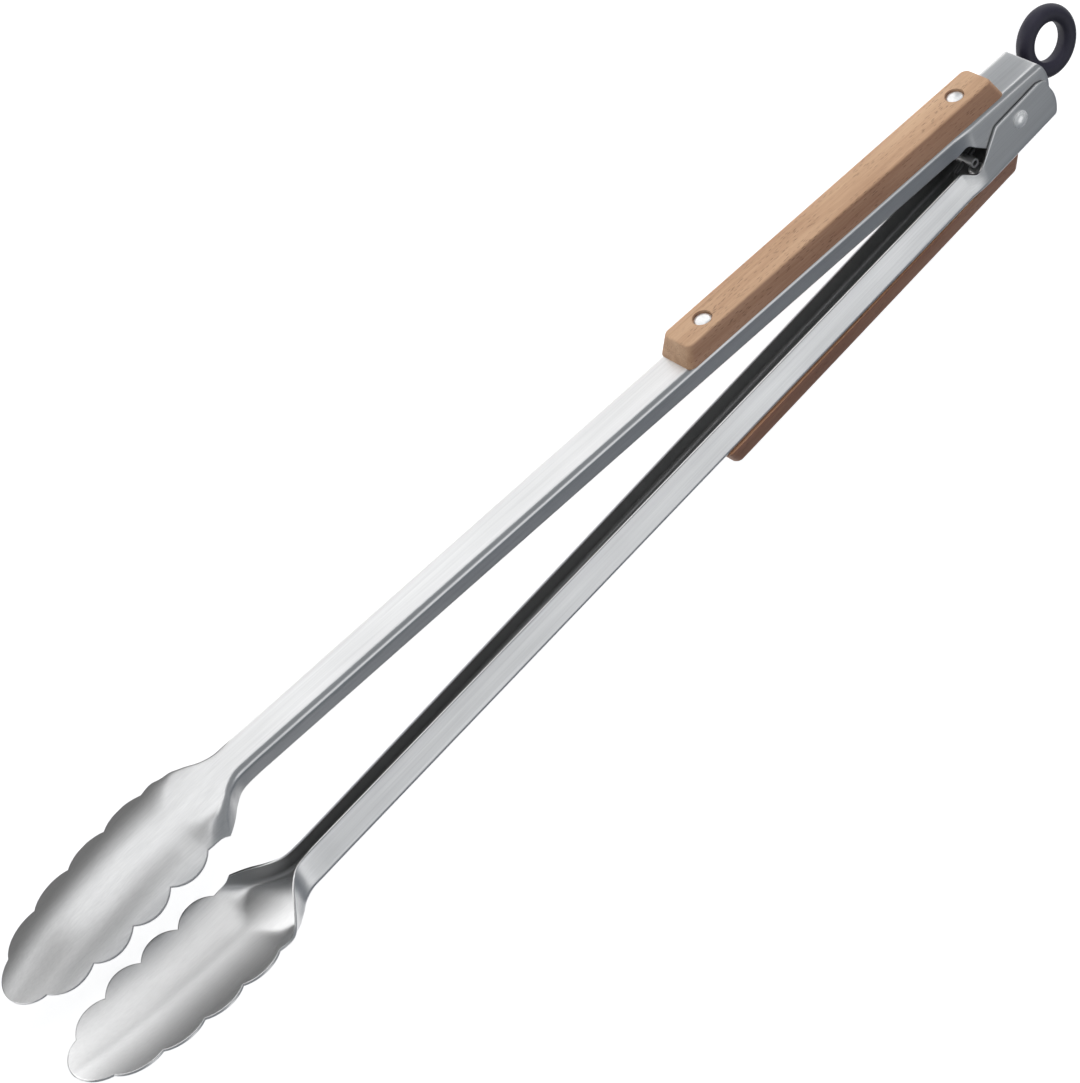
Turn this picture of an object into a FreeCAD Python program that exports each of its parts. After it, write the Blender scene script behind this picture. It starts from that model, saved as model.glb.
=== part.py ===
"""Spring loaded kitchen tongs: two sprung steel arms with scalloped heads and wooden grips.

Frame: X runs from the pull ring to the tips, Z is the hinge axis (up, the tongs lie on
their side) and Y goes across. The origin is under the middle of the tongs, on the
surface they lie on. Each arm is built in its own hinge frame, shut, with its web along X,
and its Placement then opens it about the pivot.
"""
import FreeCAD, Part
import Sketcher
import math
import os

os.makedirs("parts", exist_ok=True)
Vector = FreeCAD.Vector
Rotation = FreeCAD.Rotation
Placement = FreeCAD.Placement

doc = FreeCAD.newDocument("kitchen_tongs")

SIZES = {
    # placing
    "hinge_to_middle": 182.57,
    "hinge_height": 19.4,
    "open_angle": 3.17,
    # formed sheet of both arms
    "sheet_gauge": 0.8,
    "bend_radius": 1.9,
    "web_distance": 11.8,
    "edge_distance": 1.7,
    "outer_hinge_half": 8.5,
    "inner_hinge_half": 7.5,
    "neck_half": 6.85,
    "neck_start": 306.0,
    "hinge_lean": 3.1,
    "neck_lean": 4.0,
    # ears and their notch
    "ear_end": 15.4,
    "ear_reach": 5.7,
    "ear_parallel_end": 19.0,
    "ear_blend_end": 26.0,
    "slant_top": 9.5,
    "notch_root": 20.0,
    "notch_depth": 4.1,
    "notch_mouth": 25.2,
    # scalloped head
    "head_start": 342.4,
    "head_root_half": 16.4,
    "shoulder_length": 12.4,
    "shoulder_narrowing": 0.8,
    "shoulder_bulge": 0.5,
    "lobe_length": 14.3,
    "lobe_rise": 3.0,
    "last_root_half": 9.7,
    "narrowing_power": 5,
    "tip_reach": 407.2,
    "scoop_radius": 45.0,
    "scoop_corner_half": 9.26,
    "scoop_edge_half": 20.5,
    "scoop_depth": 4.27,
    # hinge
    "pivot_radius": 2.0,
    "pivot_hole_radius": 2.06,
    "pivot_head_radius": 3.0,
    "pivot_head_rise": 1.4,
    "bush_radius": 3.3,
    "bush_bottom": -5.0,
    "spring_radius": 4.4,
    "wire_radius": 0.7,
    "spring_half_height": 3.7,
    "spring_turns": 5,
    "spring_leg": 27.0,
    "spring_leg_gap": 0.25,
    "spring_leg_lift": 1.15,
    # latch
    "latch_angle": 3.9,
    "latch_travel": 3.0,
    "strip_bottom": -6.0,
    "strip_gauge": 1.0,
    "strip_half": 3.2,
    "strip_slot_radius": 2.3,
    "strip_tail": 17.0,
    "latch_pin_reach": 20.6,
    "latch_pin_radius": 1.6,
    "latch_pin_half": 7.4,
    "latch_pin_bore": 0.9,
    "ring_reach": 29.6,
    "ring_height": -5.8,
    "ring_radius": 9.1,
    "ring_tube": 2.94,
    "ring_bore": 6.5,
    "ring_roll": 7.8,
    # wooden grips and their rivets
    "grip_start": 2.4,
    "grip_end": 141.4,
    "grip_base_half": 7.2,
    "grip_top_half": 5.8,
    "grip_depth": 6.9,
    "grip_slope": 2.6,
    "grip_edge_radius": 1.3,
    "grip_rivet_back": 16.0,
    "grip_rivet_front": 127.5,
    "grip_rivet_radius": 1.6,
    "grip_rivet_head": 2.9,
    "grip_rivet_rise": 0.9,
    "grip_sink_radius": 3.05,
    "grip_sink_depth": 1.1,
    "grip_tail_radius": 2.6,
    "grip_tail_height": 0.9,
}

sheet = doc.addObject("Spreadsheet::Sheet", "Sizes")
for line_number, (alias, value) in enumerate(SIZES.items(), start=1):
    sheet.set(f"A{line_number}", alias.replace("_", " "))
    sheet.set(f"B{line_number}", str(value))
    sheet.setAlias(f"B{line_number}", alias)
doc.recompute()


def size(alias):
    """A driving dimension, read from the sheet."""
    return float(getattr(sheet, alias))


HINGE = Placement(Vector(-size("hinge_to_middle"), 0, size("hinge_height")), Rotation())
ARM_SIDES = {"inner": -1, "outer": 1}
nodes = []


def keep(obj, name, placement):
    """Name a finished sub-part and put it in its place."""
    obj.Label = name
    obj.Placement = placement
    nodes.append(obj)
    return obj


def arm_frame(side):
    """The hinge frame of one arm, opened by the rest angle about the pivot.

    Every piece of an arm is symmetric about Z = 0, so the inner arm's are turned half over.
    """
    opened = Placement(Vector(), Rotation(Vector(0, 0, 1), side * size("open_angle")))
    turned = Placement(Vector(), Rotation(Vector(1, 0, 0), 90 - 90 * side))
    return HINGE * opened * turned


def bind(obj, **expressions):
    """Tie an object's properties to the sheet."""
    for name, expression in expressions.items():
        obj.setExpression(name.replace("__", "."), expression)
    return obj


def cylinder(name, radius, height, **place):
    """A cylinder along Z; radius, height and place are expressions."""
    obj = doc.addObject("Part::Cylinder", name)
    return bind(obj, Radius=radius, Height=height, **place)


def fuse(name, shapes):
    """One solid made of several overlapping ones."""
    obj = doc.addObject("Part::MultiFuse", name)
    obj.Shapes = shapes
    obj.Refine = True
    return obj


def cut(name, base, tool):
    """base with tool taken away."""
    obj = doc.addObject("Part::Cut", name)
    obj.Base = base
    obj.Tool = tool
    return obj


# ---------------------------------------------------------------- formed steel arms

class Section:
    """A cross-section of the sheet: a web, two rounded bends and two flanges.

    corner is half the web's width before bending, web its distance from the mid-plane,
    edge and reach are where the flange's free edge ends, and bend is the outer radius.
    """

    def __init__(self, x, corner, web, edge, reach, bend):
        self.x = x
        self.corner = corner
        self.web = web
        self.edge = edge
        self.reach = reach
        self.bend = bend

    def half_profile(self, inset):
        """Free edge, bend end, bend middle and bend start, moved in by inset."""
        length = math.hypot(self.edge - self.corner, self.reach - self.web)
        along = ((self.edge - self.corner) / length, (self.reach - self.web) / length)
        inward = (along[1], -along[0])
        slide = -inset * (1 + inward[1]) / along[1]
        corner = (self.corner + inward[0] * inset + slide * along[0], self.web - inset)
        half_angle = math.acos(-along[0]) / 2
        radius = self.bend - inset
        tangent = radius / math.tan(half_angle)
        middle = (along[0] - 1, along[1])
        middle_length = math.hypot(*middle)
        gap = radius / math.sin(half_angle) - radius
        return [
            (self.edge + inward[0] * inset, self.reach + inward[1] * inset),
            (corner[0] + along[0] * tangent, corner[1] + along[1] * tangent),
            (corner[0] + middle[0] / middle_length * gap, corner[1] + middle[1] / middle_length * gap),
            (corner[0] - tangent, corner[1]),
        ]

    def wire(self, gauge):
        """The closed outline of the sheet."""
        def point(z, distance):
            return Vector(self.x, distance, z)

        edges = []
        loops = []
        for inset in (0, gauge):
            profile = self.half_profile(inset)
            right = [point(z, distance) for z, distance in profile]
            left = [point(-z, distance) for z, distance in profile]
            loops.append([
                Part.makeLine(right[0], right[1]),
                Part.Arc(right[1], right[2], right[3]).toShape(),
                Part.makeLine(right[3], left[3]),
                Part.Arc(left[3], left[2], left[1]).toShape(),
                Part.makeLine(left[1], left[0]),
            ])
            edges.append((right[0], left[0]))
        outer, inner = loops
        closing = [Part.makeLine(edges[0][1], edges[1][1]), Part.makeLine(edges[1][0], edges[0][0])]
        return Part.Wire(outer + [closing[0]] + inner[::-1] + [closing[1]])


def channel_section(x, hinge_half, ear):
    """The long channel at x. An ear runs on past the mid-plane and may be upright."""
    share = x / size("neck_start")
    half = hinge_half + (size("neck_half") - hinge_half) * max(share, 0)
    lean = size("hinge_lean") + (size("neck_lean") - size("hinge_lean")) * share
    web = size("web_distance")
    reach = size("edge_distance")
    if ear:
        upright_end = size("ear_parallel_end")
        blend = (x - upright_end) / (size("ear_blend_end") - upright_end)
        lean = lean * min(max(blend, 0), 1)
        longer = (web + size("ear_reach") + 1) / (web - reach)
        lean = lean * longer
        reach = web - (web - reach) * longer
    return Section(x, half, web, half - lean, reach, size("bend_radius"))


def throat_sections():
    """The channel opening out until its bends have become one shallow curve."""
    neck = size("neck_half")
    web = size("web_distance")
    bend = size("bend_radius")
    rim = size("edge_distance")
    foot = neck - size("neck_lean")
    return [
        Section(size("neck_start"), neck, web, foot, rim, bend),
        Section(317.0, neck, web, foot, rim, bend),
        Section(322.0, neck + 0.15, web - 0.15, foot + 0.95, rim + 0.1, bend + 0.1),
        Section(326.0, neck + 1.55, web - 0.4, foot + 4.15, rim + 0.7, bend + 0.2),
        Section(330.0, neck + 4.55, web - 0.75, foot + 8.75, rim + 1.8, bend + 0.7),
        Section(334.0, neck + 6.75, web - 1.15, foot + 12.95, rim + 3.3, bend + 3.1),
        Section(338.0, neck + 5.55, web - 1.6, foot + 15.95, rim + 4.3, bend + 14.1),
    ]


def scoop_sections():
    """The shallow scoop, which bends in towards the tip."""
    corner = size("scoop_corner_half")
    edge = size("scoop_edge_half")
    depth = size("scoop_depth")
    # how far the middle of the scoop has come in from the web's plane
    insets = {343.0: 2.1, 350.0: 2.6, 362.0: 3.8, 377.0: 6.05, 392.0: 9.0, 408.5: 13.8}
    web = size("web_distance")
    return [Section(x, corner, web - inset, edge, web - inset - depth, size("scoop_radius"))
            for x, inset in insets.items()]


def loft(sections, ruled):
    """A solid of sheet through the sections."""
    wires = [section.wire(size("sheet_gauge")) for section in sections]
    return Part.makeLoft(wires, True, ruled)


def outline_wire(runs):
    """A closed wire of straight runs (two points) and arcs (three points)."""
    edges = []
    for run in runs:
        edges.append(Part.makeLine(*run) if len(run) == 2 else Part.Arc(*run).toShape())
    return Part.Wire(edges)


def prism(wire, start, height, axis):
    """A flat outline pushed out along an axis."""
    moved = wire.copy()
    moved.translate(axis * start)
    return Part.Face(moved).extrude(axis * height)


def ear_trim():
    """What is cut off round the ears: the notch, the slanted edge and the rounded end."""
    top = -size("ear_reach")
    end = size("ear_end")
    root = size("notch_root")
    mouth = size("notch_mouth")
    depth = size("notch_depth")
    edge = size("edge_distance")
    web = size("web_distance")
    far = 30
    blend_end = Vector(size("ear_blend_end"), edge, 0)
    notch_mouth = Vector(mouth, edge, 0)
    notch_wall = Vector(mouth - 2.6, depth - 0.2, 0)
    notch_root = Vector(root, depth - 0.4, 0)
    slant_end = Vector(size("slant_top") + 0.5, top + 0.5, 0)
    top_start = Vector(size("slant_top") - 1.2, top, 0)
    top_end = Vector(5 - end, top, 0)
    corner_end = Vector(1.1 - end, top + 4.9, 0)
    web_end = Vector(2.4 - end, web, 0)
    corners = [Vector(2.4 - end, far, 0), Vector(-far, far, 0), Vector(-far, -far, 0),
               Vector(blend_end.x, -far, 0)]
    runs = [
        (corners[3], blend_end),
        (blend_end, notch_mouth),
        (notch_mouth, notch_wall),
        (notch_wall, Vector(root + 1.4, depth + 0.3, 0), notch_root),
        (notch_root, slant_end),
        (slant_end, Vector(size("slant_top") - 0.3, top + 0.1, 0), top_start),
        (top_start, top_end),
        (top_end, Vector(2 - end, top + 1.5, 0), corner_end),
        (corner_end, Vector(-end, 4.6, 0), web_end),
        (web_end, corners[0]),
        (corners[0], corners[1]),
        (corners[1], corners[2]),
        (corners[2], corners[3]),
    ]
    return prism(outline_wire(runs), -far, 2 * far, Vector(0, 0, 1))


def root_half(x):
    """Half the head's width at a notch between two lobes."""
    start = size("head_start")
    last = start + 4 * size("lobe_length")
    share = max(x - start, 0) / (last - start)
    full = size("head_root_half")
    return full - (full - size("last_root_half")) * share ** size("narrowing_power")


def head_outline():
    """The scalloped outline of the head, seen square to its web."""
    start = size("head_start")
    step = size("lobe_length")
    rise = size("lobe_rise")
    roots = [Vector(start + step * count, 0, root_half(start + step * count)) for count in range(5)]
    length = size("shoulder_length")
    wide = 30
    back = Vector(start - 60, 0, wide)
    shoulder = Vector(start - length, 0, wide)
    neck = Vector(start - length, 0, roots[0].z - size("shoulder_narrowing"))
    bulge = Vector(start - 5.4, 0, roots[0].z + size("shoulder_bulge"))
    half = [
        (back, shoulder),
        (shoulder, neck),
        (neck, bulge, roots[0]),
    ]
    for low, high in zip(roots, roots[1:]):
        chord = high - low
        normal = Vector(-chord.z, 0, chord.x)
        normal.normalize()
        half.append((low, low + chord * 0.5 + normal * rise, high))
    tip = Vector(size("tip_reach"), 0, 0)

    def other(vector):
        return Vector(vector.x, 0, -vector.z)

    other_half = [tuple(other(vector) for vector in reversed(run)) for run in reversed(half)]
    runs = half + [(roots[-1], tip, other(roots[-1]))] + other_half + [(other(back), back)]
    return prism(outline_wire(runs), -40, 80, Vector(0, 1, 0))


def make_arm(prefix, side):
    """One arm: ears, channel and head of one sheet, trimmed and drilled."""
    hinge_half = size(prefix + "_hinge_half")
    ear_stations = [-size("ear_end") - 1, size("ear_parallel_end"), size("ear_blend_end")]
    ears = loft([channel_section(x, hinge_half, True) for x in ear_stations], True)
    stations = [size("ear_blend_end"), size("neck_start")]
    channel = loft([channel_section(x, hinge_half, False) for x in stations], True)
    scoop_stations = scoop_sections()
    throat = loft(throat_sections() + scoop_stations[:1], True)
    scoop = loft(scoop_stations, False)
    outline = head_outline()
    head = [throat.common(outline), scoop.common(outline)]
    arm = ears.cut(ear_trim()).fuse([channel] + head)
    drills = [Part.makeCylinder(size("pivot_hole_radius"), 60, Vector(0, 0, -30))]
    for place in ("back", "front"):
        centre = Vector(size("grip_rivet_" + place), 0, 0)
        drills.append(Part.makeCylinder(size("grip_rivet_radius") + 0.02, 20, centre, Vector(0, 1, 0)))
    feature = doc.addObject("Part::Feature", prefix + "_arm")
    feature.Shape = arm.cut(drills)
    return keep(feature, prefix + "_arm", arm_frame(side))


# ---------------------------------------------------------------- wooden grips

# grips and their rivets are built on the -Y side and turned half over about X
OUTWARD = Rotation(Vector(0, 0, 1), Vector(0, -1, 0))
TURNED = Placement(Vector(), Rotation(Vector(1, 0, 0), 180))


def grip_rectangle(body, name, distance, start, end, half):
    """A rectangle on a plane parallel to the web."""
    plane = next(f for f in body.Origin.OriginFeatures if f.Role == "XZ_Plane")
    sketch = body.newObject("Sketcher::SketchObject", name)
    sketch.AttachmentSupport = [(plane, "")]
    sketch.MapMode = "FlatFace"
    sketch.setExpression("AttachmentOffset.Base.z", distance)
    corners = [Vector(5, -5, 0), Vector(100, -5, 0), Vector(100, 5, 0), Vector(5, 5, 0)]
    for count in range(4):
        sketch.addGeometry(Part.LineSegment(corners[count], corners[(count + 1) % 4]), False)
    for count in range(4):
        sketch.addConstraint(Sketcher.Constraint("Coincident", count, 2, (count + 1) % 4, 1))
    for count in (0, 2):
        sketch.addConstraint(Sketcher.Constraint("Horizontal", count))
    sketch.addConstraint(Sketcher.Constraint("Vertical", 1))
    sketch.addConstraint(Sketcher.Constraint("Symmetric", 0, 1, 3, 1, -1))
    rules = (("start", "DistanceX", (-1, 1, 0, 1), start), ("end", "DistanceX", (-1, 1, 0, 2), end),
             ("width", "DistanceY", (0, 2, 1, 2), f"2 * ({half})"))
    for label, kind, places, expression in rules:
        index = sketch.addConstraint(Sketcher.Constraint(kind, *places, 10))
        sketch.renameConstraint(index, label)
        sketch.setExpression("Constraints." + label, expression)
    return sketch


def make_grip(prefix, side):
    """A tapered hardwood slat with rounded edges and sunk holes for its two rivets."""
    body = doc.addObject("PartDesign::Body", prefix + "_slat")
    base = grip_rectangle(body, prefix + "_slat_base", "Sizes.web_distance", "Sizes.grip_start",
                          "Sizes.grip_end", "Sizes.grip_base_half")
    top = grip_rectangle(body, prefix + "_slat_top", "Sizes.web_distance + Sizes.grip_depth",
                         "Sizes.grip_start + Sizes.grip_slope", "Sizes.grip_end - Sizes.grip_slope",
                         "Sizes.grip_top_half")
    slat = body.newObject("PartDesign::AdditiveLoft", prefix + "_slat_loft")
    slat.Profile = base
    slat.Sections = [top]
    slat.Ruled = True
    doc.recompute()
    rounded = [f"Edge{count}" for count, edge in enumerate(slat.Shape.Edges, start=1)
               if edge.CenterOfMass.y < -size("web_distance") - 0.5]
    fillet = body.newObject("PartDesign::Fillet", prefix + "_slat_round")
    fillet.Base = (slat, rounded)
    fillet.setExpression("Radius", "Sizes.grip_edge_radius")
    body.Tip = fillet
    drills = []
    for place in ("back", "front"):
        along = {"Placement__Base__x": "Sizes.grip_rivet_" + place}
        bore = cylinder(f"{prefix}_bore_{place}", "Sizes.grip_rivet_radius + 0.02", "40", **along)
        bore.Placement.Rotation = OUTWARD
        seat = "-(Sizes.web_distance + Sizes.grip_depth - Sizes.grip_sink_depth)"
        sink = cylinder(f"{prefix}_sink_{place}", "Sizes.grip_sink_radius", "10",
                        Placement__Base__y=seat, **along)
        sink.Placement.Rotation = OUTWARD
        drills += [bore, sink]
    return keep(cut(prefix + "_arm_grip", body, fuse(prefix + "_drills", drills)),
                prefix + "_arm_grip", arm_frame(side) * TURNED)


def domed_head(name, radius, rise, seat):
    """A shallow dome on a plane at height seat along Z."""
    cap = doc.addObject("Part::Sphere", name)
    ball = f"(({radius})^2 + ({rise})^2) / (2 * ({rise}))"
    bind(cap, Radius=ball, Angle1=f"acos(({radius}) / ({ball}))",
         Placement__Base__z=f"({seat}) + ({rise}) - ({ball})")
    cap.Angle2 = 90
    return cap


def make_grip_rivet(prefix, side, place):
    """A rivet through the slat and the web, its head sunk in the wood, its tail in the channel."""
    name = f"{prefix}_grip_rivet_{place}"
    length = ("(Sizes.grip_depth - Sizes.grip_sink_depth + Sizes.sheet_gauge"
              " + Sizes.grip_tail_height)")
    shank = cylinder(name + "_shank", "Sizes.grip_rivet_radius", length)
    tail = cylinder(name + "_tail", "Sizes.grip_tail_radius", "Sizes.grip_tail_height")
    head = domed_head(name + "_head", "Sizes.grip_rivet_head", "Sizes.grip_rivet_rise", length)
    bottom = size("web_distance") - size("sheet_gauge") - size("grip_tail_height")
    local = Placement(Vector(size("grip_rivet_" + place), -bottom, 0), OUTWARD)
    return keep(fuse(name, [shank, tail, head]), name, arm_frame(side) * TURNED * local)


# ---------------------------------------------------------------- hinge

def make_pivot_rivet():
    """The hinge pin, headed over at both ends outside the outer ears."""
    seat = "Sizes.outer_hinge_half"
    shank = cylinder("pivot_shank", "Sizes.pivot_radius", f"2 * {seat}", Placement__Base__z=f"-{seat}")
    top = domed_head("pivot_head_top", "Sizes.pivot_head_radius", "Sizes.pivot_head_rise", seat)
    bottom = doc.addObject("Part::Mirroring", "pivot_head_bottom")
    bottom.Source = top
    bottom.Normal = Vector(0, 0, 1)
    return keep(fuse("pivot_rivet", [shank, top, bottom]), "pivot_rivet", HINGE)


def make_bush():
    """A tube round the hinge pin that keeps the inner ears apart and carries the spring."""
    height = "(Sizes.inner_hinge_half - Sizes.sheet_gauge - 0.1 - Sizes.bush_bottom)"
    tube = cylinder("bush_tube", "Sizes.bush_radius", height, Placement__Base__z="Sizes.bush_bottom")
    bore = cylinder("bush_bore", "Sizes.pivot_hole_radius", "60", Placement__Base__z="-30")
    return keep(cut("pivot_bush", tube, bore), "pivot_bush", HINGE)


def make_return_spring():
    """A coil round the bush with a straight leg to the web of each arm."""
    radius = size("spring_radius")
    wire = size("wire_radius")
    half = size("spring_half_height")
    leg = size("spring_leg")
    web_face = size("web_distance") - size("sheet_gauge")
    opening = math.radians(size("open_angle"))
    leg_end = web_face + leg * math.tan(opening) - wire - size("spring_leg_gap")
    tilt = math.asin((leg_end - radius) / math.hypot(leg, leg_end)) + math.radians(size("spring_leg_lift"))
    turns = size("spring_turns") + tilt / math.pi
    height = 2 * half
    rise_per_turn = height / turns
    helix = Part.makeHelix(rise_per_turn, height, radius)
    slope = Vector(0, 1, rise_per_turn / (2 * math.pi * radius))
    profile = Part.Wire(Part.makeCircle(wire, Vector(radius, 0, 0), slope))
    coil = Part.Wire(helix.Edges).makePipeShell([profile], True, True)
    coil.rotate(Vector(), Vector(0, 0, 1), -90 - math.degrees(tilt))
    coil.translate(Vector(0, 0, -half))
    pieces = []
    for side, level, angle in ((-1, -half, -math.pi / 2 - tilt), (1, half, math.pi / 2 + tilt)):
        foot = Vector(radius * math.cos(angle), radius * math.sin(angle), level)
        direction = Vector(math.cos(tilt), side * math.sin(tilt), 0)
        pieces.append(Part.makeCylinder(wire, leg - foot.x, foot, direction))
        pieces.append(Part.makeSphere(wire, foot))
    feature = doc.addObject("Part::Feature", "return_spring")
    feature.Shape = coil.fuse(pieces)
    return keep(feature, "return_spring", HINGE)


# ---------------------------------------------------------------- latch and pull ring

LATCH = HINGE * Placement(Vector(), Rotation(Vector(0, 0, 1), size("latch_angle")))


def stadium(name, radius, start, end, bottom, height):
    """A flat bar along X with round ends, from expressions."""
    box = doc.addObject("Part::Box", name + "_bar")
    bind(box, Length=f"({end}) - ({start})", Width=f"2 * ({radius})", Height=height,
         Placement__Base__x=start, Placement__Base__y=f"-({radius})", Placement__Base__z=bottom)
    ends = [cylinder(f"{name}_end_{count}", radius, height, Placement__Base__x=place,
                     Placement__Base__z=bottom)
            for count, place in enumerate((start, end))]
    return fuse(name, [box] + ends)


def make_latch():
    """A flat strip that slides on the hinge pin, with a cross pin and a pull ring."""
    blank = stadium("strip_blank", "Sizes.strip_half", "-Sizes.strip_tail", "Sizes.latch_pin_reach",
                    "Sizes.strip_bottom", "Sizes.strip_gauge")
    slot = stadium("strip_slot", "Sizes.strip_slot_radius", "0", "Sizes.latch_travel + 0.3", "-30", "60")
    pin_hole = cylinder("strip_pin_hole", "Sizes.latch_pin_radius", "60",
                        Placement__Base__x="Sizes.latch_pin_reach", Placement__Base__z="-30")
    strip = cut("latch_strip", blank, fuse("strip_openings", [slot, pin_hole]))
    keep(strip, "latch_strip", LATCH)
    solid_pin = cylinder("pin_solid", "Sizes.latch_pin_radius", "2 * Sizes.latch_pin_half",
                         Placement__Base__x="Sizes.latch_pin_reach",
                         Placement__Base__z="-Sizes.latch_pin_half")
    pin_bore = cylinder("pin_bore", "Sizes.latch_pin_bore", "60",
                        Placement__Base__x="Sizes.latch_pin_reach", Placement__Base__z="-30")
    keep(cut("latch_pin", solid_pin, pin_bore), "latch_pin", LATCH)
    torus = doc.addObject("Part::Torus", "ring_torus")
    bind(torus, Radius1="Sizes.ring_radius", Radius2="Sizes.ring_tube")
    land = cylinder("ring_land", "Sizes.ring_bore", "60", Placement__Base__z="-30")
    ring = cut("ring_blank", torus, land)
    ring.Placement = Placement(Vector(-size("ring_reach"), 0, size("ring_height")),
                               Rotation(Vector(1, 0, 0), size("ring_roll")))
    tang = stadium("ring_tang", "Sizes.strip_half", "-Sizes.strip_tail", "0", "Sizes.strip_bottom",
                   "Sizes.strip_gauge")
    keep(cut("pull_ring", ring, tang), "pull_ring", LATCH)


for prefix, side in ARM_SIDES.items():
    make_arm(prefix, side)
    make_grip(prefix, side)
    for place in ("back", "front"):
        make_grip_rivet(prefix, side, place)
make_pivot_rivet()
make_bush()
make_return_spring()
make_latch()
doc.recompute()

for obj in doc.Objects:
    if "Invalid" in obj.State or "Error" in obj.State:
        raise RuntimeError(f"{obj.Name} failed to build: {obj.State}")
for obj in nodes:
    if obj.Shape.isNull() or not obj.Shape.isValid():
        raise RuntimeError(f"{obj.Label} is not a valid shape")
    obj.Shape.exportStep(f"parts/{obj.Label}.step")

whole = Part.makeCompound([obj.Shape for obj in nodes]).BoundBox
print("box", whole)
for obj in nodes:
    print(obj.Label, "solids", len(obj.Shape.Solids), "volume", round(obj.Shape.Volume, 1))
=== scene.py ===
"""Looks of the spring loaded kitchen tongs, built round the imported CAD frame.

Everything is in metres in the row frame: X from the pull ring to the tips, Z up along
the hinge axis. Lengths below are in millimetres of each part's own hinge frame and are
scaled by MM. Meshes are moved to the row frame, and each point keeps its own frame's place
in an attribute that the materials read, so grain and brushing follow the arm.
"""

import math

import bmesh
import bpy
import numpy as np
from mathutils import Matrix, Vector


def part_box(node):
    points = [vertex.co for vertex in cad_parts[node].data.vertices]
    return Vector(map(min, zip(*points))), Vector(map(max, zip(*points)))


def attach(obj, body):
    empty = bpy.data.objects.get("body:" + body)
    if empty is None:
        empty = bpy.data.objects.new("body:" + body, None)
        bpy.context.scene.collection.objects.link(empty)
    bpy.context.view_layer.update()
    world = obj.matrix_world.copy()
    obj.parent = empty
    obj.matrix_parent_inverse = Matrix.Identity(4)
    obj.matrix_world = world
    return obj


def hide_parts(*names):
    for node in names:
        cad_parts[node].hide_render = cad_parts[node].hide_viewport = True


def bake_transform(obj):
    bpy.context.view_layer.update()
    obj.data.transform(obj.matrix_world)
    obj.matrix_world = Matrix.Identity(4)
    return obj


MM = 0.001
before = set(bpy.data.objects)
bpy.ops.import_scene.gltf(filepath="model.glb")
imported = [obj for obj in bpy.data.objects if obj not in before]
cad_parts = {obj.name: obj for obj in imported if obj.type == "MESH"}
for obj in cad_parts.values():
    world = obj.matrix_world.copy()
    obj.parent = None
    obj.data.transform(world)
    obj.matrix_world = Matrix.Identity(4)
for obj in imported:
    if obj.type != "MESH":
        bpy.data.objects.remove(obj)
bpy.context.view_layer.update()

# ------------------------------------------------------------------ design values

OPEN_ANGLE = math.radians(3.17)
LATCH_ANGLE = math.radians(3.9)
ARM_SIDES = {"inner": -1, "outer": 1}
HINGE_HALF = {"inner": 7.5, "outer": 8.5}
GAUGE = 0.8
WEB = 11.8
EDGE = 1.7
NECK_HALF = 6.85
NECK_START = 306.0
HINGE_LEAN = 3.1
NECK_LEAN = 4.0
EAR_TOP = -5.7
CHANNEL_BEND = 1.9
SHEET_EDGE_RADIUS = 0.16
HEAD_START = 342.4
LOBES = 4
LOBE = 14.3
LOBE_RISE = 3.0
HEAD_HALF = 16.4
LAST_HALF = 9.7
TIP = 407.2
LAST_NOTCH = HEAD_START + LOBES * LOBE
TIP_SAG = TIP - LAST_NOTCH
TIP_RADIUS = (LAST_HALF * LAST_HALF + TIP_SAG * TIP_SAG) / (2 * TIP_SAG)
ROUND_HALF = 7.0
ROUND_RISE = TIP_RADIUS - math.sqrt(TIP_RADIUS * TIP_RADIUS - ROUND_HALF * ROUND_HALF)
TINY = 1e-6


def middle(node):
    """Middle of a CAD node's box."""
    low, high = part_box(node)
    return (low + high) / 2


HINGE = middle("pivot_rivet")


def arm_matrix(side):
    """From an arm's hinge frame, in metres, to the row frame."""
    opened = Matrix.Rotation(side * OPEN_ANGLE, 4, "Z")
    turned = Matrix.Rotation(math.radians(90 - 90 * side), 4, "X")
    return Matrix.Translation(HINGE) @ opened @ turned


def latch_matrix():
    """From the latch's hinge frame, in metres, to the row frame."""
    return Matrix.Translation(HINGE) @ Matrix.Rotation(LATCH_ANGLE, 4, "Z")


# ------------------------------------------------------------------ node helpers

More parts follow.
